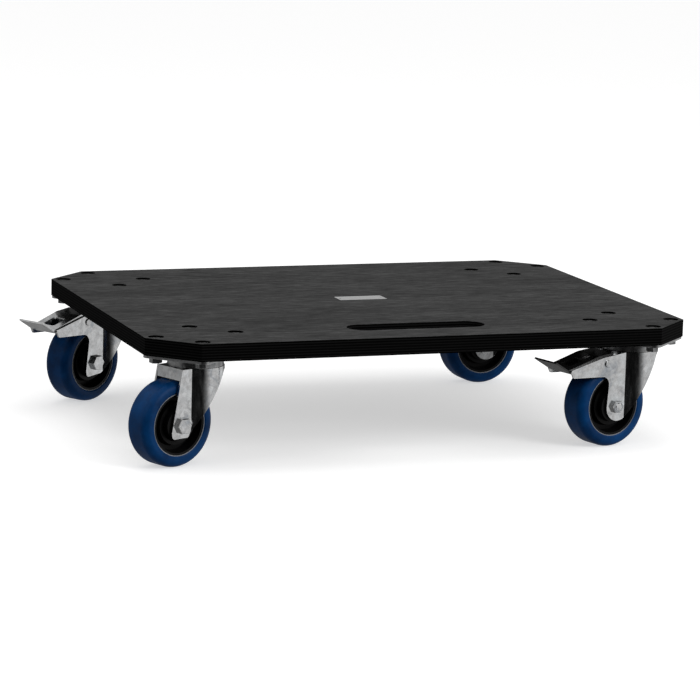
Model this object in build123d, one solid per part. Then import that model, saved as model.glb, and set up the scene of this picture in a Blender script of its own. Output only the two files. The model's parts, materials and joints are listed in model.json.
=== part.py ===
from build123d import *
import os
from math import atan2, cos, degrees, pi, radians, sin, sqrt

# Furniture dolly: a plywood deck with cut corners on four swivel castors, two of them with foot brakes.
# Millimetres, +Z up, +X along the deck's long side. The origin is the middle of the deck's top face.

# ---- deck ----
deck_length = 670
deck_width = 530
deck_thickness = 20.5
corner_cut = 52
slot_length = 168
slot_width = 38
slot_from_edge = 72        # the handle slot's centre line, from the front edge
slot_round = 2
label_length = 61
label_width = 27
label_thickness = 0.8
label_recess = 0.3         # how far the label's face lies below the deck's face
label_centre = (2.5, 8)
label_corner = 2
label_rivet_pitch = 53
label_rivet_radius = 1.2
label_rivet_length = 6

# ---- castor fixing ----
castor_inset = 64          # swivel axis, from both neighbouring edges of the deck
plate_long = 105           # along the corner's diagonal
plate_short = 85
plate_thickness = 3
plate_corner = 8
hole_pitch_long = 80
hole_pitch_short = 60
bolt_radius = 4
bolt_length = 20
bolt_head_across = 13
bolt_head_height = 5.3
washer_radius = 8
washer_thickness = 1.2
nut_flange_radius = 9.2
nut_flange_thickness = 1.3
nut_flange_recess = 2.2
nut_barrel_radius = 5.2
nut_barrel_length = 12

# ---- swivel head ----
head_room = 28             # from the tyre's top to the deck's underside
race_height = 11           # from the plate's underside to the fork's crown
race_radius = 32.5
race_sheet = 2.4
race_gap = 0.4             # between the race's lip and the crown
ball_radius = 4
ball_ring_radius = 25
ball_sink = 0.8            # depth of the ball groove in the crown
ball_count = 18
kingpin_radius = 8
kingpin_head_radius = 12
kingpin_head_height = 3
kingpin_cap_radius = 11
kingpin_cap_height = 1.2

# ---- fork ----
fork_sheet = 2.5
nose_radius = 33.5         # outside of the round front of the fork, about the swivel axis
leg_span = 47              # over the outsides of the two legs
trail = 36                 # swivel axis to wheel axle, level
crown_rear = 37            # swivel axis to the rear edge of a plain fork's crown
skirt_drop = 12.5
skirt_lean = 2
brake_leg_rear = 11        # rear edge of a brake fork's leg behind the axle, under the ear
foot_corner = 4            # rounding of a square foot's corners
round_foot_radius = 16.5
round_foot_ahead = 2.5     # centre of a round foot, ahead of the axle
round_foot_below = 1       # and below it
nose_lip = 3.5             # height of the fork's front rim below the crown
nose_shoulder = 21         # where the nose's slanted edge meets that rim, ahead of the swivel axis
nose_bend = 8              # rounding there
ear_reach = 70             # brake ears, behind the axle
ear_back_drop = 4          # ear's top edge over the brake's pivot, below the crown
ear_tip_drop = 16          # ear's tip, below the crown
ear_tip_depth = 9
ear_under_drop = 27        # ear's lower edge, below the crown
ear_inner_round = 10
ear_corner = 2

# ---- axle ----
axle_radius = 5
axle_head_across = 17
axle_head_height = 5.5
axle_nut_across = 14
axle_nut_height = 5
axle_tail = 1.2            # bolt end standing out of the nut
sleeve_radius = 7.5

# ---- wheel ----
wheel_radius = 50
wheel_width = 37
shoulder_round = 9
tyre_lip = 1.2             # how far the tyre stands wider than the rim's edge
rim_radius = 0.72 * wheel_radius
rim_edge = 3               # thickness of the rim under the tyre
rim_width = 34
web_thickness = 8
hub_radius = 0.38 * wheel_radius
hub_width = 40
hub_step_radius = 0.48 * wheel_radius
hub_step_width = 24
bearing_radius = 13
bearing_width = 9

# ---- brake pedal ----
pivot_behind = 15          # pivot behind the axle
pivot_drop = 11.5          # pivot below the crown
pivot_radius = 2.5
pivot_head_radius = 4.2
pivot_head_height = 1.6
pivot_boss_radius = 6
pedal_sheet = 2
pedal_front = (-11, 12)    # places on the pedal's side view: behind the pivot, above the pivot
pedal_knee = (11, 9.5)
tread_tip = (76, 5.5)      # tread plate's under face, from its tip to its foot
tread_foot = (52, -9)
pedal_heel = (19, -10)
tread_join = 6.5           # pedal's top meets the tread plate this far up from its foot
window_along = 21          # opening in the pedal's top
window_across = 20
window_behind = 36         # middle of the opening, behind the pivot
window_corner = 3
shoe_gap = 4               # brake shoe to tyre, brake off
shoe_thickness = 3
shoe_width = 26
shoe_start = 54            # angles about the axle, degrees above level
shoe_end = 68
shoe_web = 4

# ---- clearances ----
running = 0.05             # radial, shaft in bore
loose = 0.25               # radial, bolt through a plain hole
side_gap = 0.3             # between faces that slide past each other

# Each castor: its deck corner as signs of x and y, the direction it trails in (degrees), whether it has a
# brake, its leg's foot, and the side of the axle's bolt head. A square foot is given by how far it reaches
# behind the axle, and by its depths below the axle at the rear, at the front and where the nose begins.
castors = {
    "front_left": dict(corner=(-1, -1), trails=202, brake=False, foot=(15, 15, 14.5, 7), head_side=1),
    "front_right": dict(corner=(1, -1), trails=195, brake=True, foot="round", head_side=-1),
    "back_left": dict(corner=(-1, 1), trails=211, brake=True, foot=(17, 17, 14.5, 12.5), head_side=1),
    "back_right": dict(corner=(1, 1), trails=184, brake=False, foot="round", head_side=1),
}

# ---- worked-out places, in a castor's own frame ----
# There the swivel axis is Z, the wheel trails along +X, and z = 0 is the deck's underside.
castor_height = 2 * wheel_radius + head_room
axle_z = wheel_radius - castor_height
race_top = -plate_thickness
crown_top = race_top - race_height
crown_under = crown_top - fork_sheet
leg_outer = leg_span / 2
leg_inner = leg_outer - fork_sheet
crease = sqrt(nose_radius**2 - leg_outer**2)
pivot_x = trail + pivot_behind
pivot_z = crown_top - pivot_drop
plate_angle = {name: degrees(atan2(c["corner"][1], c["corner"][0])) for name, c in castors.items()}


def cylinder(radius, bottom, top, x=0, y=0):
    """Upright cylinder between two heights."""
    return Pos(x, y, bottom) * extrude(Circle(radius), top - bottom)


def hexagon(across, bottom, top, x=0, y=0):
    return Pos(x, y, bottom) * extrude(RegularPolygon(across / 2, 6, major_radius=False), top - bottom)


def lying(shape, x, z):
    """Turn an upright shape about Z = 0 so that it lies along Y, through the point (x, z)."""
    return Pos(x, 0, z) * Rot(90, 0, 0) * shape


def closed(points):
    """Closed outline in the XZ plane through (x, z) points."""
    return Polyline(*[(x, 0, z) for x, z in points], close=True)


def slab(outline, y_from, y_to):
    """Closed outline in the XZ plane, as a plate between two values of y."""
    face = make_face(outline)
    return extrude(face, y_to - y_from, dir=(0, 1, 0)).moved(Location((0, y_from, 0)))


def ring_section(points):
    """Solid of revolution about Y from (radius, y) points."""
    face = make_face(Polyline(*[(r, y, 0) for r, y in points], close=True))
    return revolve(face, Axis.Y)


def bolt_places():
    return [
        (sx * hole_pitch_long / 2, sy * hole_pitch_short / 2)
        for sx in (-1, 1)
        for sy in (-1, 1)
    ]


# ---------------- deck ----------------
def swivel_place(name):
    sx, sy = castors[name]["corner"]
    return (sx * (deck_length / 2 - castor_inset), sy * (deck_width / 2 - castor_inset))


def at_plate(name, shape):
    """Move a shape from the plate's own frame, long side along X, to its corner."""
    x, y = swivel_place(name)
    return Pos(x, y, -deck_thickness) * Rot(0, 0, plate_angle[name]) * shape


def at_castor(name, shape):
    """Move a shape from a castor's own frame to its corner, turned to its trail direction."""
    x, y = swivel_place(name)
    return Pos(x, y, -deck_thickness) * Rot(0, 0, castors[name]["trails"]) * shape


def label_rivet_places():
    x, y = label_centre
    return [(x + side * label_rivet_pitch / 2, y) for side in (-1, 1)]


def make_board():
    outline = Rectangle(deck_length, deck_width)
    outline = chamfer(outline.vertices(), corner_cut)
    board = extrude(outline, -deck_thickness)
    slot = Pos(0, slot_from_edge - deck_width / 2, 0) * SlotOverall(slot_length, slot_width)
    board -= extrude(slot, -deck_thickness)
    rim = board.edges().filter_by(
        lambda e: abs(e.center().X) < slot_length / 2
        and abs(e.center().Y + deck_width / 2 - slot_from_edge) < slot_width / 2 + 1
        and abs(e.center().Z % deck_thickness) < 0.01
    )
    board = fillet(rim, slot_round)
    pocket = RectangleRounded(label_length + 2 * loose, label_width + 2 * loose, label_corner)
    board -= Pos(*label_centre, 0) * extrude(pocket, -label_recess - label_thickness)
    for x, y in label_rivet_places():
        board -= cylinder(label_rivet_radius + running, -label_rivet_length - label_recess, 0, x, y)
    flange_depth = nut_flange_recess + nut_flange_thickness
    for name in castors:
        for x, y in bolt_places():
            hole = cylinder(nut_barrel_radius + running, 0, deck_thickness, x, y)
            hole += cylinder(nut_flange_radius + running, deck_thickness - flange_depth, deck_thickness, x, y)
            board -= at_plate(name, hole)
    return board


def make_label():
    plate = Pos(*label_centre, -label_recess) * RectangleRounded(label_length, label_width, label_corner)
    plate = extrude(plate, -label_thickness)
    for x, y in label_rivet_places():
        plate -= cylinder(label_rivet_radius + running, -label_recess - label_thickness, 0, x, y)
    return plate


def make_label_rivets():
    return [
        cylinder(label_rivet_radius, -label_rivet_length - label_recess, -label_recess, x, y)
        for x, y in label_rivet_places()
    ]


def make_tee_nut(x, y):
    top = deck_thickness - nut_flange_recess
    nut = cylinder(nut_flange_radius, top - nut_flange_thickness, top, x, y)
    nut += cylinder(nut_barrel_radius, top - nut_flange_thickness - nut_barrel_length, top, x, y)
    return nut - cylinder(bolt_radius + running, 0, deck_thickness, x, y)


def make_washer(x, y):
    washer = cylinder(washer_radius, -plate_thickness - washer_thickness, -plate_thickness, x, y)
    return washer - cylinder(bolt_radius + running, -castor_height, 0, x, y)


def make_bolt(x, y):
    seat = -plate_thickness - washer_thickness
    head = hexagon(bolt_head_across, seat - bolt_head_height, seat, x, y)
    head = chamfer(head.edges().group_by(Axis.Z)[0], 0.6)
    return head + cylinder(bolt_radius, seat, seat + bolt_length, x, y)


def make_plate():
    plate = extrude(RectangleRounded(plate_long, plate_short, plate_corner), -plate_thickness)
    for x, y in bolt_places():
        plate -= cylinder(bolt_radius + loose, -plate_thickness, 0, x, y)
    plate -= cylinder(kingpin_radius + running, -plate_thickness, 0)
    return plate - cylinder(kingpin_cap_radius + running, -kingpin_cap_height, 0)


def make_upper_race():
    """Pressed cup under the plate, open downwards over the ball ring."""
    race = cylinder(race_radius, crown_top + race_gap, race_top)
    race = fillet(race.edges().group_by(Axis.Z)[-1], race_sheet / 2)
    race -= cylinder(race_radius - race_sheet, crown_top, race_top - race_sheet)
    return race - cylinder(kingpin_radius + running, crown_top, race_top)


def make_kingpin():
    head_top = crown_under - side_gap
    pin = cylinder(kingpin_radius, head_top, 0)
    pin += cylinder(kingpin_cap_radius, -kingpin_cap_height, 0)
    head = cylinder(kingpin_head_radius, head_top - kingpin_head_height, head_top)
    return pin + chamfer(head.edges().group_by(Axis.Z)[0], 1)


# ---------------- fork ----------------
def toe_place(castor):
    """Where the nose's slanted edge ends at the foot, as (x, z)."""
    if castor["foot"] == "round":
        ahead = trail - round_foot_ahead - crease
        return (crease, axle_z - round_foot_below - sqrt(round_foot_radius**2 - ahead**2))
    return (crease, axle_z - castor["foot"][3])


def rim_height():
    return crown_top - nose_lip


def make_nose(castor):
    """Round front of the fork: a sleeve about the swivel axis, cut off along a slant from toe to rim."""
    toe = toe_place(castor)
    ahead = -nose_radius - 1
    shoulder = (-nose_shoulder, rim_height())
    outline = [toe, shoulder, (ahead, rim_height()), (ahead, crown_top), (crease, crown_top)]
    side = slab(closed(outline), -nose_radius, nose_radius)
    bend = side.edges().filter_by(Axis.Y).sort_by_distance((shoulder[0], 0, shoulder[1]))[0]
    side = fillet(bend, nose_bend)
    bottom = toe[1] - 1
    shell = cylinder(nose_radius, bottom, crown_top) - cylinder(nose_radius - fork_sheet, bottom, crown_top)
    tall = crown_under - bottom
    between_legs = Pos(nose_radius, 0, crown_under - tall) * Box(
        2 * (nose_radius - crease + fork_sheet), 2 * leg_inner, 2 * tall
    )
    return (shell & side) - between_legs


def foot_outline(castor):
    """The leg's lower end as (x, z, corner radius), from its rear edge round to the nose's edge."""
    toe_x, toe_z = toe_place(castor)
    inside = crease - fork_sheet
    if castor["foot"] == "round":
        centre_x, centre_z = round_foot_centre()
        rear, bottom = centre_x + round_foot_radius, centre_z - round_foot_radius
        return [(rear, centre_z, 0), (rear, bottom, 0), (inside, bottom, 0)]
    rear, drop, front_drop, toe_drop = castor["foot"]
    slant = (rim_height() - toe_z) / (crease + nose_shoulder)
    return [
        (trail + rear, axle_z - drop / 2, foot_corner),
        (trail + rear - 1, axle_z - drop, foot_corner),
        (crease + foot_corner, axle_z - front_drop, foot_corner / 2),
        (toe_x, toe_z, 0),
        (inside, toe_z + slant * fork_sheet, 0),
    ]


def round_foot_centre():
    return (trail - round_foot_ahead, axle_z - round_foot_below)


def plain_leg_outline(castor):
    """Leg of a fork with no brake: the rear edge leans back from the crown to the foot."""
    top = [(crease - fork_sheet, crown_top, 0), (crown_rear, crown_top, 0)]
    return top + foot_outline(castor)


def brake_leg_outline(castor):
    """Leg with an ear that reaches back over the wheel and carries the pedal's pivot."""
    tip_x = trail + ear_reach
    ear = [
        (crease - fork_sheet, crown_top, 0),
        (crease, crown_top, 0),
        (pivot_x + pivot_boss_radius, crown_top - ear_back_drop, ear_corner),
        (tip_x, crown_top - ear_tip_drop, ear_corner),
        (tip_x - ear_tip_depth / 2, crown_top - ear_tip_drop - ear_tip_depth, ear_corner),
        (trail + brake_leg_rear, crown_top - ear_under_drop, ear_inner_round),
    ]
    return ear + foot_outline(castor)


def make_leg(castor):
    outline = brake_leg_outline(castor) if castor["brake"] else plain_leg_outline(castor)
    leg = slab(closed([(x, z) for x, z, radius in outline]), leg_inner, leg_outer)
    for x, z, radius in outline:
        if radius:
            corner = leg.edges().filter_by(Axis.Y).sort_by_distance((x, leg_inner, z))[0]
            leg = fillet(corner, radius)
    if castor["foot"] == "round":
        centre_x, centre_z = round_foot_centre()
        kept = lying(extrude(Circle(round_foot_radius), leg_span, both=True), centre_x, centre_z)
        below = Pos(centre_x, 0, centre_z - leg_span / 2) * Box(2 * leg_span, 2 * leg_span, leg_span)
        leg -= below - kept
    return leg


def make_skirt():
    """Short apron between a plain fork's legs, behind the crown."""
    foot = crown_rear + skirt_lean
    low = crown_top - skirt_drop
    points = [
        (crown_rear - fork_sheet, crown_top),
        (crown_rear, crown_top),
        (foot, low),
        (foot - fork_sheet, low),
    ]
    return slab(closed(points), -leg_outer, leg_outer)


def ball_places():
    return [
        (ball_ring_radius * cos(2 * pi * i / ball_count), ball_ring_radius * sin(2 * pi * i / ball_count))
        for i in range(ball_count)
    ]


def ball_z():
    return crown_top - ball_sink + ball_radius + running


def make_fork(castor):
    crown = cylinder(nose_radius, crown_under, crown_top)
    if not castor["brake"]:
        rear = Pos(crown_rear / 2, 0, crown_under) * extrude(Rectangle(crown_rear, leg_span), fork_sheet)
        crown += rear
    leg = make_leg(castor)
    fork = crown + make_nose(castor) + leg + mirror(leg, Plane.XZ)
    if not castor["brake"]:
        fork += make_skirt()
    fork -= cylinder(kingpin_radius + running, crown_under, crown_top)
    fork -= Pos(0, 0, ball_z()) * Torus(ball_ring_radius, ball_radius + running)
    hole = extrude(Circle(axle_radius + running), leg_span, both=True)
    fork -= lying(hole, trail, axle_z)
    if castor["brake"]:
        fork -= lying(extrude(Circle(pivot_radius + running), leg_span, both=True), pivot_x, pivot_z)
    return fork


def make_balls():
    return [Pos(x, y, ball_z()) * Sphere(ball_radius) for x, y in ball_places()]


# ---------------- axle ----------------
def facing(castor, shape):
    """The axle's pieces are drawn with the bolt head on the +Y side; some castors have it on the other."""
    return shape if castor["head_side"] > 0 else Rot(0, 0, 180) * shape


def on_axle(castor, shape):
    """Lay an upright shape along the axle, its top towards the bolt head."""
    return Pos(trail, 0, axle_z) * facing(castor, Rot(-90, 0, 0) * shape)


def make_axle_bolt():
    bolt = cylinder(axle_radius, -leg_outer - axle_nut_height - axle_tail, leg_outer)
    bolt = chamfer(bolt.edges().group_by(Axis.Z)[0], 0.8)
    head = hexagon(axle_head_across, leg_outer, leg_outer + axle_head_height)
    return bolt + chamfer(head.edges().group_by(Axis.Z)[-1], 0.8)


def make_axle_nut():
    nut = hexagon(axle_nut_across, -leg_outer - axle_nut_height, -leg_outer)
    nut = chamfer(nut.edges().group_by(Axis.Z)[0], 0.8)
    return nut - cylinder(axle_radius + running, -leg_outer - axle_nut_height, -leg_outer)


def make_sleeve():
    sleeve = cylinder(sleeve_radius, -leg_inner, leg_inner)
    return sleeve - cylinder(axle_radius + running, -leg_inner, leg_inner)


# ---------------- wheel ----------------
def make_tyre():
    half = wheel_width / 2
    side = half - tyre_lip
    inner = rim_radius
    points = dict(
        rim_low=(inner, -side),
        lip_low=(inner + 2, -half),
        wall_low=(wheel_radius - shoulder_round, -half),
        tread_low=(wheel_radius, -half + shoulder_round),
        tread_high=(wheel_radius, half - shoulder_round),
        wall_high=(wheel_radius - shoulder_round, half),
        lip_high=(inner + 2, half),
        rim_high=(inner, side),
    )
    p = {key: (r, y, 0) for key, (r, y) in points.items()}
    section = [
        Line(p["rim_high"], p["rim_low"]),
        Line(p["rim_low"], p["lip_low"]),
        Line(p["lip_low"], p["wall_low"]),
        RadiusArc(p["wall_low"], p["tread_low"], -shoulder_round),
        Line(p["tread_low"], p["tread_high"]),
        RadiusArc(p["tread_high"], p["wall_high"], -shoulder_round),
        Line(p["wall_high"], p["lip_high"]),
        Line(p["lip_high"], p["rim_high"]),
    ]
    return Pos(trail, 0, axle_z) * revolve(make_face(section), Axis.Y)


def make_rim():
    """Rim, web and hub in one moulding, stepped in towards the hub."""
    edge = rim_width / 2
    step = hub_step_width / 2
    web = web_thickness / 2
    hub = hub_width / 2
    seat = hub - bearing_width
    upper = [
        (rim_radius, edge),
        (rim_radius - rim_edge, edge),
        (rim_radius - rim_edge - 2, web),
        (hub_step_radius + 2, web),
        (hub_step_radius, step),
        (hub_radius + 1, step),
        (hub_radius, hub),
        (bearing_radius, hub),
        (bearing_radius, seat),
        (sleeve_radius + 1, seat),
    ]
    lower = [(r, -y) for r, y in reversed(upper)]
    return Pos(trail, 0, axle_z) * ring_section(upper + lower)


def make_bearings():
    hub = hub_width / 2
    bearings = []
    for side in (-1, 1):
        inner_end, outer_end = hub - bearing_width, hub
        points = [
            (sleeve_radius + running, side * inner_end),
            (sleeve_radius + running, side * outer_end),
            (sleeve_radius + 2, side * outer_end),
            (sleeve_radius + 2.5, side * (outer_end - 0.6)),
            (bearing_radius - 1.5, side * (outer_end - 0.6)),
            (bearing_radius - 1, side * outer_end),
            (bearing_radius, side * outer_end),
            (bearing_radius, side * inner_end),
        ]
        bearings.append(Pos(trail, 0, axle_z) * ring_section(points))
    return bearings


# ---------------- brake ----------------
def by_pivot(place):
    """A place given from the pivot, as (x, z)."""
    return (pivot_x + place[0], pivot_z + place[1])


def on_tread(along, above):
    """Point on the tread plate: along its under face from its foot, and above that face."""
    foot, tip = tread_foot, tread_tip
    length = sqrt((tip[0] - foot[0]) ** 2 + (tip[1] - foot[1]) ** 2)
    ux, uz = (tip[0] - foot[0]) / length, (tip[1] - foot[1]) / length
    return by_pivot((foot[0] + along * ux - above * uz, foot[1] + along * uz + above * ux))


def tread_length():
    return sqrt((tread_tip[0] - tread_foot[0]) ** 2 + (tread_tip[1] - tread_foot[1]) ** 2)


def top_underside(x):
    """Height of the underside of the pedal's top, on either side of its knee."""
    start, end = by_pivot(pedal_front), by_pivot(pedal_knee)
    if x > end[0]:
        start, end = end, on_tread(tread_join, pedal_sheet)
    share = (x - start[0]) / (end[0] - start[0])
    return start[1] + share * (end[1] - start[1]) - 1.05 * pedal_sheet


def make_pedal():
    """Folded sheet: two flanks, a top with a window, and the tread plate that joins them at the back."""
    half = leg_inner - side_gap
    front = by_pivot(pedal_front)
    knee = by_pivot(pedal_knee)
    outline = [
        front,
        knee,
        on_tread(tread_join, pedal_sheet),
        on_tread(tread_length(), pedal_sheet),
        on_tread(tread_length(), 0),
        on_tread(0, 0),
        by_pivot(pedal_heel),
        by_pivot((0, -pivot_boss_radius)),
        by_pivot((-pivot_boss_radius, 0)),
    ]
    pedal = slab(closed(outline), -half, half)
    ahead = front[0] - pedal_sheet
    foot = on_tread(0, pedal_sheet)
    below = foot[1] - half
    hollow = [
        (ahead, front[1] - pedal_sheet),
        (knee[0], knee[1] - pedal_sheet),
        on_tread(tread_join - 1.4 * pedal_sheet, pedal_sheet),
        foot,
        (foot[0], below),
        (ahead, below),
    ]
    pedal -= slab(closed(hollow), pedal_sheet - half, half - pedal_sheet)
    opening = extrude(RectangleRounded(window_along, window_across, window_corner), half, both=True)
    pedal -= Pos(pivot_x + window_behind, 0, knee[1]) * opening
    return pedal - lying(extrude(Circle(pivot_radius + running), leg_span, both=True), pivot_x, pivot_z)


def on_wheel(radius, angle):
    """Point at an angle above level, on a circle about the axle."""
    return (trail + radius * cos(radians(angle)), axle_z + radius * sin(radians(angle)))


def make_shoe():
    """Curved brake shoe over the tread, with a web up to the pedal's top."""
    low = wheel_radius + shoe_gap
    high = low + shoe_thickness
    middle = (shoe_start + shoe_end) / 2

    def arc(radius, first, last):
        places = [on_wheel(radius, angle) for angle in (first, middle, last)]
        return ThreePointArc(*[(x, 0, z) for x, z in places])

    under = arc(low, shoe_start, shoe_end)
    over = arc(high, shoe_end, shoe_start)
    section = [under, Line(under @ 1, over @ 0), over, Line(over @ 1, under @ 0)]
    shoe = slab(section, -shoe_width / 2, shoe_width / 2)
    web_x, web_low = on_wheel(low + shoe_thickness / 2, middle)
    web_end = web_x + shoe_web
    web = [
        (web_x, web_low),
        (web_end, web_low),
        (web_end, top_underside(web_end)),
        (web_x, top_underside(web_x)),
    ]
    return shoe + slab(closed(web), -shoe_width / 2, shoe_width / 2)


def make_pivot():
    pin = cylinder(pivot_radius, -leg_outer, leg_outer)
    head = cylinder(pivot_head_radius, leg_outer, leg_outer + pivot_head_height)
    head = fillet(head.edges().group_by(Axis.Z)[-1], pivot_head_height / 2)
    pin += head
    pin += mirror(head, Plane.XY)
    return lying(pin, pivot_x, pivot_z)


# ---------------- writing the parts ----------------
def write(name, shapes):
    solids = [s for shape in (shapes if isinstance(shapes, list) else [shapes]) for s in shape.solids()]
    whole = solids[0] if len(solids) == 1 else Compound(children=solids)
    export_step(whole, "parts/" + name + ".step")


def main():
    os.makedirs("parts", exist_ok=True)
    write("board", make_board())
    write("label_plate", make_label())
    write("label_rivets", make_label_rivets())
    places = [(name, x, y) for name in castors for x, y in bolt_places()]
    write("tee_nuts", [at_plate(name, make_tee_nut(x, y)) for name, x, y in places])
    write("plate_washers", [at_plate(name, make_washer(x, y)) for name, x, y in places])
    write("plate_bolts", [at_plate(name, make_bolt(x, y)) for name, x, y in places])
    for name, castor in castors.items():
        write("castor_plate_" + name, at_plate(name, make_plate()))
        write("upper_race_" + name, at_plate(name, make_upper_race()))
        write("kingpin_" + name, at_plate(name, make_kingpin()))
        write("swivel_balls_" + name, [at_castor(name, ball) for ball in make_balls()])
        write("fork_" + name, at_castor(name, make_fork(castor)))
        write("axle_bolt_" + name, at_castor(name, on_axle(castor, make_axle_bolt())))
        write("axle_nut_" + name, at_castor(name, on_axle(castor, make_axle_nut())))
        write("axle_sleeve_" + name, at_castor(name, on_axle(castor, make_sleeve())))
        write("tyre_" + name, at_castor(name, make_tyre()))
        write("rim_" + name, at_castor(name, make_rim()))
        write("wheel_bearings_" + name, [at_castor(name, b) for b in make_bearings()])
        if castor["brake"]:
            write("brake_pedal_" + name, at_castor(name, make_pedal()))
            write("brake_shoe_" + name, at_castor(name, make_shoe()))
            write("pedal_pin_" + name, at_castor(name, make_pivot()))


main()
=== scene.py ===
import json
from math import radians, sin, cos, pi
import bpy
import bmesh
from mathutils import Matrix, Vector


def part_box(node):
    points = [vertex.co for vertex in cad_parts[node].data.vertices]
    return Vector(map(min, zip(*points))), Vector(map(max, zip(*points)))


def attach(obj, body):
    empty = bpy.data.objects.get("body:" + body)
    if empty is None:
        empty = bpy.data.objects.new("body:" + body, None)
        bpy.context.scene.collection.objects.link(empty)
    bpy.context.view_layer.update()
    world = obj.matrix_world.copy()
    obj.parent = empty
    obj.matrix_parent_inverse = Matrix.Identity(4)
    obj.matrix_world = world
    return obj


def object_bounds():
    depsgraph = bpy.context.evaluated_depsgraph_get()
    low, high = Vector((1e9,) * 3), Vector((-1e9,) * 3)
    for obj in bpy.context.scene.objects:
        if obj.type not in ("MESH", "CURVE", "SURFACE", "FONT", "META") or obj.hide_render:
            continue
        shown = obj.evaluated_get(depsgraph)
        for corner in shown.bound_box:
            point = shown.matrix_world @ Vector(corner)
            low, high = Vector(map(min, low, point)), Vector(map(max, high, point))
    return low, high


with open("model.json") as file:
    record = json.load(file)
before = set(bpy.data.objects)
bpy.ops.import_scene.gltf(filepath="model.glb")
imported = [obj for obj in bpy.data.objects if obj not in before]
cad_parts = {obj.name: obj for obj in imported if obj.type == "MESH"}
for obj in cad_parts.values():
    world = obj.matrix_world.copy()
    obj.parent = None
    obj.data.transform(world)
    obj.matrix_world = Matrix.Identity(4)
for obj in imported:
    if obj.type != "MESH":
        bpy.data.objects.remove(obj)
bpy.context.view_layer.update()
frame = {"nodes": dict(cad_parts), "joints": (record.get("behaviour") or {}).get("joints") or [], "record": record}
nodes = frame["nodes"]
joints = {j["name"]: j for j in frame["joints"]}
castorNames = ["front_left", "front_right", "back_left", "back_right"]
print("frame loaded:", len(nodes), "nodes")


# small helpers for node trees
def newMaterial(name):
    material = bpy.data.materials.new(name)
    material.use_nodes = True
    tree = material.node_tree
    shader = tree.nodes["Principled BSDF"]
    return material, tree, shader


def addNode(tree, kind, **settings):
    node = tree.nodes.new(kind)
    for key, value in settings.items():
        setattr(node, key, value)
    return node


def objectCoordinates(tree, scale=(1, 1, 1)):
    coordinates = addNode(tree, "ShaderNodeTexCoord")
    mapping = addNode(tree, "ShaderNodeMapping")
    mapping.inputs["Scale"].default_value = scale
    tree.links.new(coordinates.outputs["Object"], mapping.inputs["Vector"])
    return mapping.outputs["Vector"]


def noise(tree, vector, scale, detail=3, roughness=0.5, distortion=0.0):
    node = addNode(tree, "ShaderNodeTexNoise")
    node.inputs["Scale"].default_value = scale
    node.inputs["Detail"].default_value = detail
    node.inputs["Roughness"].default_value = roughness
    node.inputs["Distortion"].default_value = distortion
    tree.links.new(vector, node.inputs["Vector"])
    return node.outputs["Fac"]


def cells(tree, vector, scale):
    node = addNode(tree, "ShaderNodeTexVoronoi")
    node.inputs["Scale"].default_value = scale
    tree.links.new(vector, node.inputs["Vector"])
    return node.outputs["Color"]


def ramp(tree, value, stops, smooth=False):
    node = addNode(tree, "ShaderNodeValToRGB")
    elements = node.color_ramp.elements
    while len(elements) < len(stops):
        elements.new(0.5)
    for element, (place, colour) in zip(elements, stops):
        element.position = place
        element.color = (*colour, 1)
    if smooth:
        node.color_ramp.interpolation = "EASE"
    tree.links.new(value, node.inputs["Fac"])
    return node.outputs["Color"]


def grey(level):
    return (level, level, level)


def calculate(tree, operation, first, second=None, third=None):
    node = addNode(tree, "ShaderNodeMath", operation=operation)
    for socket, value in zip(node.inputs, (first, second, third)):
        if value is None:
            continue
        if isinstance(value, (int, float)):
            socket.default_value = value
        else:
            tree.links.new(value, socket)
    return node.outputs["Value"]


def mixColours(tree, factor, first, second, blend="MIX"):
    node = addNode(tree, "ShaderNodeMix", data_type="RGBA", blend_type=blend)
    for socket, value in ((node.inputs[0], factor), (node.inputs[6], first), (node.inputs[7], second)):
        if isinstance(value, (int, float)):
            socket.default_value = value
        elif isinstance(value, tuple):
            socket.default_value = (*value, 1)
        else:
            tree.links.new(value, socket)
    return node.outputs[2]


def addBump(tree, shader, height, strength, distance, onto=None):
    node = addNode(tree, "ShaderNodeBump")
    node.inputs["Strength"].default_value = strength
    node.inputs["Distance"].default_value = distance
    tree.links.new(height, node.inputs["Height"])
    if onto is not None:
        tree.links.new(onto, node.inputs["Normal"])
    tree.links.new(node.outputs["Normal"], shader.inputs["Normal"])
    return node.outputs["Normal"]


def edgeMask(tree, radius, low, high):
    # 1 on sharp outer edges, from the difference between the true and the rounded normal
    rounded = addNode(tree, "ShaderNodeBevel", samples=4)
    rounded.inputs["Radius"].default_value = radius
    geometry = addNode(tree, "ShaderNodeNewGeometry")
    dot = addNode(tree, "ShaderNodeVectorMath", operation="DOT_PRODUCT")
    tree.links.new(rounded.outputs["Normal"], dot.inputs[0])
    tree.links.new(geometry.outputs["Normal"], dot.inputs[1])
    return ramp(tree, dot.outputs["Value"], [(low, grey(1)), (high, grey(0))])


# the deck: stained film on the faces, sealed layers on the edges
deckLook = {
    "face": 0.042, "grainLight": 0.095, "grainDark": 0.012,
    "streakStretch": (3.2, 30, 8), "streakSize": 8,
    "cloudStretch": (1.2, 5, 1), "cloudSize": 3.2, "cloudShare": 0.75,
    "speckleStretch": (34, 170, 60), "speckleSize": 3, "speckleShare": 0.7,
    "edge": 0.0003, "edgePly": 0.008, "edgeRough": 0.8, "plyCount": 13, "plyWobble": 0.35,
    "faceRough": (0.66, 0.5), "sheen": 0.02, "relief": 0.35, "reliefDepth": 0.0004,
}


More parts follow.
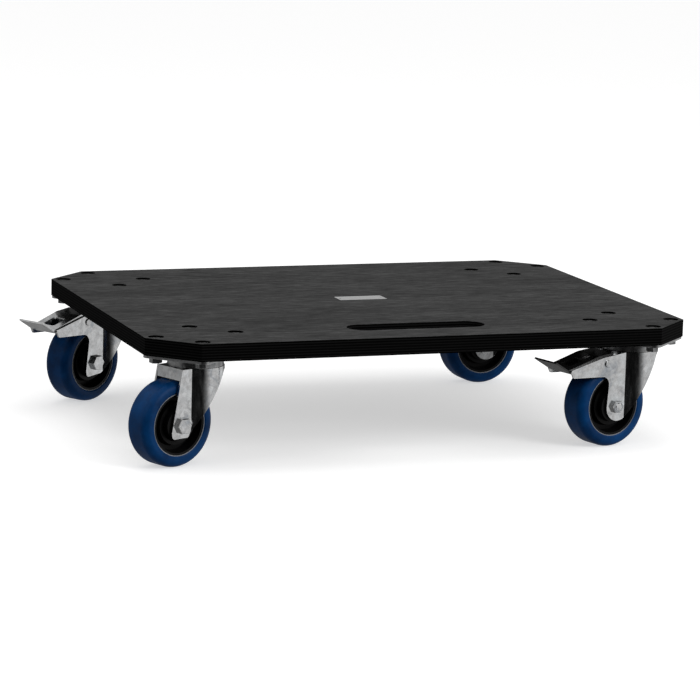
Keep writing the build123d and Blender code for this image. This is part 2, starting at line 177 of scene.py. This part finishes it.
def makeDeckMaterial():
    material, tree, shader = newMaterial("filmFacedPlywood")
    streakPlace = objectCoordinates(tree, scale=deckLook["streakStretch"])
    streaks = noise(tree, streakPlace, deckLook["streakSize"], detail=9, roughness=0.78, distortion=0.3)
    cloudPlace = objectCoordinates(tree, scale=deckLook["cloudStretch"])
    broad = noise(tree, cloudPlace, deckLook["cloudSize"], detail=4, roughness=0.6)
    specklePlace = objectCoordinates(tree, scale=deckLook["speckleStretch"])
    fine = noise(tree, specklePlace, deckLook["speckleSize"], detail=4, roughness=0.75)
    grain = ramp(tree, streaks, [(0.3, grey(deckLook["grainDark"])), (0.5, grey(deckLook["face"])),
                                 (0.72, grey(deckLook["grainLight"]))])
    cloud = ramp(tree, broad, [(0.35, grey(0.72)), (0.65, grey(1.2))])
    top = mixColours(tree, deckLook["cloudShare"], grain, cloud, "MULTIPLY")
    speckle = ramp(tree, fine, [(0.3, grey(0.55)), (0.7, grey(1.45))])
    top = mixColours(tree, deckLook["speckleShare"], top, speckle, "MULTIPLY")
    # edges: thin layers, alternately darker and lighter, under black sealer
    coordinates = addNode(tree, "ShaderNodeTexCoord")
    parts = addNode(tree, "ShaderNodeSeparateXYZ")
    tree.links.new(coordinates.outputs["Object"], parts.inputs["Vector"])
    low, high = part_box("board")
    layer = (high[2] - low[2]) / deckLook["plyCount"]
    wobble = noise(tree, objectCoordinates(tree, scale=(9, 9, 60)), 6, detail=4)
    drift = calculate(tree, "MULTIPLY", wobble, layer * deckLook["plyWobble"])
    height = calculate(tree, "ADD", parts.outputs["Z"], drift)
    wave = calculate(tree, "SINE", calculate(tree, "MULTIPLY", height, pi / layer))
    side = ramp(tree, calculate(tree, "MULTIPLY_ADD", wave, 0.5, 0.5),
                [(0.35, grey(deckLook["edge"])), (0.95, grey(deckLook["edgePly"]))])
    geometry = addNode(tree, "ShaderNodeNewGeometry")
    facing = addNode(tree, "ShaderNodeSeparateXYZ")
    tree.links.new(geometry.outputs["True Normal"], facing.inputs["Vector"])
    level = calculate(tree, "ABSOLUTE", facing.outputs["Z"])
    isFace = ramp(tree, level, [(0.86, grey(0)), (0.93, grey(1))])
    tree.links.new(mixColours(tree, isFace, side, top), shader.inputs["Base Color"])
    darkRough, lightRough = deckLook["faceRough"]
    rough = ramp(tree, streaks, [(0.2, grey(darkRough)), (0.8, grey(lightRough))])
    tree.links.new(mixColours(tree, isFace, grey(deckLook["edgeRough"]), rough), shader.inputs["Roughness"])
    shader.inputs["Specular IOR Level"].default_value = deckLook["sheen"]
    # seven parts streaks to three parts speckle
    fineShare = calculate(tree, "MULTIPLY", fine, 0.3)
    relief = calculate(tree, "MULTIPLY_ADD", streaks, 0.7, fineShare)
    addBump(tree, shader, relief, deckLook["relief"], deckLook["reliefDepth"])
    return material


# plated steel: cloudy patches, small flakes, spots, smears, and sharp edges lightened as wear and as a painted
# highlight
zincLook = {
    "light": 0.60, "dark": 0.34, "rough": (0.11, 0.24), "cloudSize": 46,
    "spangle": 190, "spangleShare": 0.85, "spotSize": 170, "spotShare": 0.5, "smearSize": 260,
    "wearAndHighlight": 0.34, "wearAndHighlightShare": 0.7, "wearAndHighlightWidth": 0.0009,
}


def makeZincMaterial(name, light, dark, roughRange):
    material, tree, shader = newMaterial(name)
    place = objectCoordinates(tree)
    patches = noise(tree, place, zincLook["cloudSize"], detail=6, roughness=0.68, distortion=0.8)
    flakes = cells(tree, place, zincLook["spangle"])
    flakeValue = ramp(tree, flakes, [(0.0, grey(0.84)), (1.0, grey(1.12))])
    smears = noise(tree, objectCoordinates(tree, scale=(1, 1, 0.18)), zincLook["smearSize"], detail=3)
    spots = noise(tree, place, zincLook["spotSize"], detail=4, roughness=0.7)
    tone = ramp(tree, patches, [(0.3, (dark * 0.93, dark, dark * 1.08)), (0.48, grey((light + dark) * 0.56)),
                                (0.66, (light * 0.97, light, light * 1.02))])
    tone = mixColours(tree, zincLook["spangleShare"], tone, flakeValue, "MULTIPLY")
    spotValue = ramp(tree, spots, [(0.32, grey(0.6)), (0.6, grey(1.1))])
    tone = mixColours(tree, zincLook["spotShare"], tone, spotValue, "MULTIPLY")
    # sharp edges lightened: partly wear, partly a painted highlight where the edges catch light
    edges = edgeMask(tree, zincLook["wearAndHighlightWidth"], 0.9, 0.995)
    wearAndHighlight = calculate(tree, "MULTIPLY", edges, zincLook["wearAndHighlightShare"])
    tone = mixColours(tree, wearAndHighlight, tone, grey(min(1, light + zincLook["wearAndHighlight"])))
    tree.links.new(tone, shader.inputs["Base Color"])
    shader.inputs["Metallic"].default_value = 1
    low, high = roughRange
    tree.links.new(ramp(tree, smears, [(0.3, grey(low)), (0.75, grey(high))]), shader.inputs["Roughness"])
    addBump(tree, shader, patches, 0.07, 0.0008, addBump(tree, shader, smears, 0.08, 0.00015))
    return material


# elastic blue rubber with a slow mottle and faint scuffs
tyreLook = {
    "deep": (0.0004, 0.019, 0.072), "bright": (0.0010, 0.047, 0.170), "mottleSize": 34,
    "scuff": (0.008, 0.07, 0.18), "scuffSize": 140, "scuffShare": 0.3, "gritSize": 900,
    "rough": (0.34, 0.5), "gloss": 0.08,
}


def makeTyreMaterial():
    material, tree, shader = newMaterial("blueElasticRubber")
    place = objectCoordinates(tree)
    mottle = noise(tree, place, tyreLook["mottleSize"], detail=5, roughness=0.6)
    grit = noise(tree, place, tyreLook["gritSize"], detail=2)
    base = ramp(tree, mottle, [(0.3, tyreLook["deep"]), (0.7, tyreLook["bright"])])
    rubbing = noise(tree, place, tyreLook["scuffSize"], detail=6, roughness=0.75)
    scuffs = ramp(tree, rubbing, [(0.55, grey(0)), (0.75, grey(1))])
    scuffing = calculate(tree, "MULTIPLY", scuffs, tyreLook["scuffShare"])
    base = mixColours(tree, scuffing, base, tyreLook["scuff"])
    tree.links.new(base, shader.inputs["Base Color"])
    low, high = tyreLook["rough"]
    tree.links.new(ramp(tree, mottle, [(0.25, grey(low)), (0.8, grey(high))]), shader.inputs["Roughness"])
    shader.inputs["Specular IOR Level"].default_value = tyreLook["gloss"]
    addBump(tree, shader, grit, 0.12, 0.0002, addBump(tree, shader, mottle, 0.1, 0.0008))
    return material


# rim, pedal coat, rings and paint: one colour that clouds between a darker and a lighter tone
plasticLook = {"darker": 0.7, "lighter": 1.5, "cloudShare": 0.08, "relief": 0.15, "reliefDepth": 0.0002}


def makePlasticMaterial(name, colour, roughRange, grain, gloss=0.5):
    material, tree, shader = newMaterial(name)
    place = objectCoordinates(tree)
    spots = noise(tree, place, grain, detail=4, roughness=0.65)
    cloud = noise(tree, place, grain * plasticLook["cloudShare"], detail=3)
    darker = tuple(c * plasticLook["darker"] for c in colour)
    lighter = tuple(c * plasticLook["lighter"] for c in colour)
    tree.links.new(ramp(tree, cloud, [(0.3, darker), (0.7, lighter)]), shader.inputs["Base Color"])
    low, high = roughRange
    tree.links.new(ramp(tree, spots, [(0.3, grey(low)), (0.7, grey(high))]), shader.inputs["Roughness"])
    shader.inputs["Specular IOR Level"].default_value = gloss
    addBump(tree, shader, spots, plasticLook["relief"], plasticLook["reliefDepth"])
    return material


# thin brushed aluminium, left blank
labelLook = {
    "brushStretch": (14, 900, 14), "brushSize": 6, "tone": (0.30, 0.44), "rough": (0.38, 0.55),
    "metal": 0.15, "relief": 0.15, "reliefDepth": 0.0001,
}


def makeLabelMaterial():
    material, tree, shader = newMaterial("brushedLabelAluminium")
    place = objectCoordinates(tree, scale=labelLook["brushStretch"])
    brushed = noise(tree, place, labelLook["brushSize"], detail=4, roughness=0.7)
    for key, socket in (("tone", "Base Color"), ("rough", "Roughness")):
        low, high = labelLook[key]
        tree.links.new(ramp(tree, brushed, [(0.3, grey(low)), (0.7, grey(high))]), shader.inputs[socket])
    shader.inputs["Metallic"].default_value = labelLook["metal"]
    addBump(tree, shader, brushed, labelLook["relief"], labelLook["reliefDepth"])
    return material


materials = {
    "film_faced_plywood": makeDeckMaterial(),
    "label_aluminium": makeLabelMaterial(),
    "dark_rivet": makeZincMaterial("darkRivetSteel", 0.08, 0.04, (0.35, 0.5)),
    "dark_fixing": makeZincMaterial("darkZincFixing", 0.22, 0.10, (0.3, 0.5)),
    "zinc_steel": makeZincMaterial("brightZincPlate", zincLook["light"], zincLook["dark"], zincLook["rough"]),
    "bearing_steel": makeZincMaterial("bearingSteel", 0.6, 0.45, (0.15, 0.3)),
    # the fork plating painted darker: painted shade for the pieces under the deck
    "shade_painted_zinc": makeZincMaterial("shadePaintedZincPlate", 0.36, 0.16, (0.25, 0.4)),
    "blue_tyre": makeTyreMaterial(),
    "black_rim": makePlasticMaterial("blackRimPlastic", (0.0018, 0.0018, 0.002), (0.34, 0.5), 700, 0.12),
    "black_pedal": makePlasticMaterial("blackPedalCoat", (0.008, 0.008, 0.0085), (0.22, 0.36), 420, 0.5),
}
# pale grey: a painted highlight on the black rim's lip
rimLipHighlightMaterial = makePlasticMaterial("paintedRimLipHighlight", (0.20, 0.21, 0.23), (0.3, 0.45), 600)
sealMaterial = makePlasticMaterial("darkSealRubber", (0.012, 0.012, 0.013), (0.5, 0.65), 900, 0.3)
nylonMaterial = makePlasticMaterial("paleNylonInsert", (0.42, 0.44, 0.46), (0.35, 0.5), 500)
markMaterial = makePlasticMaterial("palePadPaint", (0.8, 0.8, 0.8), (0.4, 0.6), 800)
slotOf = {s["node"]: s["material_slot"] for s in frame["record"]["subparts"]}
print("materials made:", len(bpy.data.materials))


# every CAD piece gets its finish and smooth shading from weighted normals; the pieces listed here also get a small
# round on their edges
edgeRound = {
    "board": 0.0008, "fork": 0.0006, "brake_pedal": 0.0005, "castor_plate": 0.0005, "label_plate": 0.0002,
    "upper_race": 0.0004, "axle_nut": 0.0004, "axle_bolt": 0.0004, "plate_bolts": 0.0004, "rim": 0.0005,
}
shadePaintedPieces = ("castor_plate", "upper_race", "kingpin")    # plated like the forks, painted darker as the shade under the deck


def dressNode(name, piece):
    piece.data.materials.clear()
    finish = "shade_painted_zinc" if name.startswith(shadePaintedPieces) else slotOf[name]
    piece.data.materials.append(materials[finish])
    for key, width in edgeRound.items():
        if name.startswith(key):
            bevel = piece.modifiers.new("edgeRound", "BEVEL")
            bevel.width = width
            bevel.segments = 2
            bevel.limit_method = "ANGLE"
            bevel.angle_limit = radians(40)
            bevel.harden_normals = False
    # weighted normals keep the flat faces flat beside the rounds
    smooth = piece.modifiers.new("flatFaces", "WEIGHTED_NORMAL")
    smooth.keep_sharp = True


for nodeName, node in nodes.items():
    dressNode(nodeName, node)
print("CAD pieces dressed")


# small pieces that the CAD model leaves out
def finishPiece(piece, material, body):
    piece.data.materials.append(material)
    for face in piece.data.polygons:
        face.use_smooth = True
    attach(piece, body)


def sweepRing(name, centre, axis, profile, steps=96):
    # closed (radius, along) profile carried round an axis
    axis = Vector(axis).normalized()
    across = axis.orthogonal().normalized()
    upward = axis.cross(across)
    mesh = bmesh.new()
    rings = []
    for step in range(steps):
        angle = 2 * pi * step / steps
        outward = across * cos(angle) + upward * sin(angle)
        rings.append([mesh.verts.new(Vector(centre) + outward * r + axis * along) for r, along in profile])
    for step, ring in enumerate(rings):
        following = rings[(step + 1) % steps]
        for index in range(len(profile)):
            after = (index + 1) % len(profile)
            mesh.faces.new((ring[index], ring[after], following[after], following[index]))
    bmesh.ops.recalc_face_normals(mesh, faces=mesh.faces)
    data = bpy.data.meshes.new(name)
    mesh.to_mesh(data)
    mesh.free()
    piece = bpy.data.objects.new(name, data)
    bpy.context.scene.collection.objects.link(piece)
    return piece


def roundProfile(radius, along, thick, corners=10):
    return [(radius + thick * cos(2 * pi * i / corners), along + thick * sin(2 * pi * i / corners))
            for i in range(corners)]


wheelTrim = {
    "seatRadius": 0.0361, "seatAlong": 0.0173, "rimLipHighlightThick": 0.00055,
    "sealIn": 0.0101, "sealOut": 0.0114, "sealAlong": 0.0194, "sealProud": 0.0004, "sealLip": 0.0002,
    "sealDip": 0.00015,
}


def makeWheelTrim(castor):
    # a pale ring where the tyre sits on the rim, a painted highlight on the rim's lip, and the bearing's dark
    # seal, on both sides
    joint = joints[castor + "_roll"]
    centre = joint["pos_m"]
    axis = joint["axis"]
    body = castor + "_wheel"
    inner = wheelTrim["sealIn"]
    outer = wheelTrim["sealOut"]
    lip = wheelTrim["sealLip"]
    for side, sideName in ((-1, "inner"), (1, "outer")):
        ending = castor + "_" + sideName
        rimLipHighlightProfile = roundProfile(wheelTrim["seatRadius"], side * wheelTrim["seatAlong"], wheelTrim["rimLipHighlightThick"])
        rimLipHighlight = sweepRing("rimLipHighlight_" + ending, centre, axis, rimLipHighlightProfile, steps=128)
        finishPiece(rimLipHighlight, rimLipHighlightMaterial, body)
        start = side * wheelTrim["sealAlong"]
        end = start + side * wheelTrim["sealProud"]
        dip = end - side * wheelTrim["sealDip"]
        middle = (inner + outer) / 2
        seal = [(inner, start), (inner + lip, end), (middle, dip), (outer - lip, end), (outer, start)]
        finishPiece(sweepRing("bearingSeal_" + ending, centre, axis, seal), sealMaterial, body)


nutCollar = {"inner": 0.0052, "outer": 0.0064, "height": 0.0007, "round": 0.0003}


def makeNutCollar(castor):
    # nylon insert in the end of the lock nut: the nut's side of the wheel and its end face give the place
    joint = joints[castor + "_roll"]
    centre = Vector(joint["pos_m"])
    axis = Vector(joint["axis"]).normalized()
    lowCorner, highCorner = (Vector(corner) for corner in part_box("axle_nut_" + castor))
    side = 1 if ((lowCorner + highCorner) / 2 - centre).dot(axis) > 0 else -1
    nutMesh = nodes["axle_nut_" + castor].data
    end = max(side * (vertex.co - centre).dot(axis) for vertex in nutMesh.vertices)
    low = nutCollar["inner"]
    high = nutCollar["outer"]
    top = end + nutCollar["height"]
    soft = nutCollar["round"]
    profile = [
        (low, end - soft), (low, top - soft), (low + soft, top),
        (high - soft, top), (high, top - soft), (high, end - soft),
    ]
    ring = sweepRing("nutInsert_" + castor, centre, axis * side, profile, steps=64)
    finishPiece(ring, nylonMaterial, castor + "_fork")


for castorName in castorNames:
    makeWheelTrim(castorName)
    makeNutCollar(castorName)
print("wheel trim and nut inserts made")


# knee and join are two places along the pedal's sloping top, as (behind, above) its pivot
pedalMarks = {
    "knee": (0.011, 0.0095), "join": (0.0561, -0.0038), "length": 0.0085, "width": 0.0022, "pitch": 0.0042,
    "behindPivot": 0.0190, "aside": 0.0055, "thick": 0.00025, "lift": 0.4, "cornerRound": 0.3,
}


def makePedalMarks(castor):
    # two plain raised bars on the pedal's sloping top
    pivot = joints[castor + "_brake"]
    centre = Vector(pivot["pos_m"])
    across = Vector(pivot["axis"]).normalized()
    behind = centre - Vector(joints[castor + "_roll"]["pos_m"])
    behind.z = 0
    behind.normalize()
    kneeAt, kneeUp = pedalMarks["knee"]
    joinAt, joinUp = pedalMarks["join"]
    slope = (joinUp - kneeUp) / (joinAt - kneeAt)
    along = (behind + Vector((0, 0, slope))).normalized()
    normal = along.cross(across)
    normal *= 1 if normal.z > 0 else -1
    place = pedalMarks["behindPivot"]
    onTop = centre + behind * place + Vector((0, 0, kneeUp + slope * (place - kneeAt)))
    mesh = bmesh.new()
    for side in (-0.5, 0.5):
        middle = onTop + across * (pedalMarks["aside"] + side * pedalMarks["pitch"])
        for vertex in bmesh.ops.create_cube(mesh, size=1)["verts"]:
            x, y, z = vertex.co
            vertex.co = (middle + along * x * pedalMarks["length"] + across * y * pedalMarks["width"]
                         + normal * (z + pedalMarks["lift"]) * pedalMarks["thick"])
    bmesh.ops.recalc_face_normals(mesh, faces=mesh.faces)
    data = bpy.data.meshes.new("pedalMarks_" + castor)
    mesh.to_mesh(data)
    mesh.free()
    piece = bpy.data.objects.new("pedalMarks_" + castor, data)
    bpy.context.scene.collection.objects.link(piece)
    rounded = piece.modifiers.new("softCorners", "BEVEL")
    rounded.width = pedalMarks["thick"] * pedalMarks["cornerRound"]
    finishPiece(piece, markMaterial, castor + "_pedal")


makePedalMarks("front_right")
print("pedal marks made")


# room, lights and camera
roomLook = {
    "floorSize": 7, "floor": 0.6, "floorGlow": 0.55, "backdrop": 1.0, "overhead": 0.8, "ground": 0.34,
    "brightFrom": 350, "dark": 0.006, "half": 0.22, "bright": 0.82, "leftFrom": 150, "left": 0.4,
}


def makeFloor():
    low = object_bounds()[0]
    mesh = bmesh.new()
    bmesh.ops.create_grid(mesh, x_segments=2, y_segments=2, size=roomLook["floorSize"])
    data = bpy.data.meshes.new("paleFloor")
    mesh.to_mesh(data)
    mesh.free()
    floor = bpy.data.objects.new("paleFloor", data)
    floor.location = (0, 0, low[2])
    floor.visible_glossy = False    # so that the metal reflects only the studio's dark and light sides
    floor.visible_diffuse = False
    bpy.context.scene.collection.objects.link(floor)
    material, tree, shader = newMaterial("paleFloor")
    speck = noise(tree, objectCoordinates(tree), 30, detail=3)
    level = roomLook["floor"]
    tone = ramp(tree, speck, [(0.3, grey(level * 0.99)), (0.7, grey(level))])
    tree.links.new(tone, shader.inputs["Base Color"])
    shader.inputs["Roughness"].default_value = 0.9
    shader.inputs["Emission Color"].default_value = (1, 1, 1, 1)
    shader.inputs["Emission Strength"].default_value = roomLook["floorGlow"]
    data.materials.append(material)


def makeStudio():
    # a white room with a bright side, a dark side and a pale ceiling, seen only in reflections and as light
    world = bpy.data.worlds.new("studio")
    world.use_nodes = True
    tree = world.node_tree
    background = tree.nodes["Background"]
    coordinates = addNode(tree, "ShaderNodeTexCoord")
    direction = coordinates.outputs["Generated"]
    walls = grey(0)
    brightSide = [(0.72, roomLook["dark"]), (0.81, roomLook["half"]), (0.90, roomLook["bright"])]
    leftPanel = [(0.78, 0), (0.92, roomLook["left"])]
    for angle, stops in ((roomLook["brightFrom"], brightSide), (roomLook["leftFrom"], leftPanel)):
        towards = addNode(tree, "ShaderNodeVectorMath", operation="DOT_PRODUCT")
        towards.inputs[1].default_value = (cos(radians(angle)), sin(radians(angle)), 0)
        tree.links.new(direction, towards.inputs[0])
        share = calculate(tree, "MULTIPLY_ADD", towards.outputs["Value"], 0.5, 0.5)
        panel = ramp(tree, share, [(place, grey(level)) for place, level in stops])
        walls = mixColours(tree, 1.0, panel, walls, "ADD")
    parts = addNode(tree, "ShaderNodeSeparateXYZ")
    tree.links.new(direction, parts.inputs["Vector"])
    upward = ramp(tree, parts.outputs["Z"], [(0.3, grey(0)), (0.62, grey(1))], smooth=True)
    lit = mixColours(tree, upward, walls, grey(roomLook["overhead"]))
    depth = calculate(tree, "MULTIPLY", parts.outputs["Z"], -1)
    downward = ramp(tree, depth, [(0.28, grey(0)), (0.6, grey(1))])
    lit = mixColours(tree, downward, lit, grey(roomLook["ground"]))
    path = addNode(tree, "ShaderNodeLightPath")
    colour = mixColours(tree, path.outputs["Is Camera Ray"], lit, grey(roomLook["backdrop"]))
    tree.links.new(colour, background.inputs["Color"])
    bpy.context.scene.world = world
    bpy.context.scene.view_settings.view_transform = "Standard"


lampAim = (0, 0, -0.06)
lightSet = {
    "keyLight": {"place": (1.7, -2.6, 1.5), "size": (1.3, 1.3), "power": 46},
    "leftLight": {"place": (-2.6, -1.0, 1.6), "size": (0.8, 1.6), "power": 6},
    "topLight": {"place": (0, 0.4, 2.6), "size": (2.2, 2.2), "power": 24},
}


def makeLights():
    for name, look in lightSet.items():
        data = bpy.data.lights.new(name, "AREA")
        data.shape = "RECTANGLE"
        data.size, data.size_y = look["size"]
        data.energy = look["power"]
        lamp = bpy.data.objects.new(name, data)
        lamp.location = look["place"]
        lamp.rotation_mode = "QUATERNION"
        lamp.rotation_quaternion = (Vector(lampAim) - Vector(look["place"])).to_track_quat("-Z", "Y")
        bpy.context.scene.collection.objects.link(lamp)


# angles in degrees; the aim is a small step off the origin, to the camera's right and up
cameraSet = {
    "lens": 171.3, "sensor": 36, "farEnd": 100, "distance": 4.079, "azimuth": -19.82, "elevation": 9.36,
    "roll": 1.595, "aimRight": -0.01314, "aimUp": -0.0628,
}


def makeCamera():
    azimuth, elevation, roll = (radians(cameraSet[key]) for key in ("azimuth", "elevation", "roll"))
    level = cos(elevation)
    back = Vector((sin(azimuth) * level, -cos(azimuth) * level, sin(elevation)))
    levelRight = (-back).cross(Vector((0, 0, 1))).normalized()
    levelUp = levelRight.cross(-back)
    right = levelRight * cos(roll) + levelUp * sin(roll)
    up = levelUp * cos(roll) - levelRight * sin(roll)
    data = bpy.data.cameras.new("camera")
    data.lens = cameraSet["lens"]
    data.sensor_width = cameraSet["sensor"]
    data.clip_end = cameraSet["farEnd"]
    camera = bpy.data.objects.new("camera", data)
    place = back * cameraSet["distance"]
    aim = right * cameraSet["aimRight"] + up * cameraSet["aimUp"]
    toCamera = (place - aim).normalized()
    sideways = up.cross(toCamera).normalized()
    upright = toCamera.cross(sideways)
    turned = Matrix((sideways, upright, toCamera)).transposed().to_4x4()
    camera.matrix_world = Matrix.Translation(place) @ turned
    bpy.context.scene.collection.objects.link(camera)
    bpy.context.scene.camera = camera


makeFloor()
makeStudio()
makeLights()
makeCamera()
print("stage, lights and camera set")
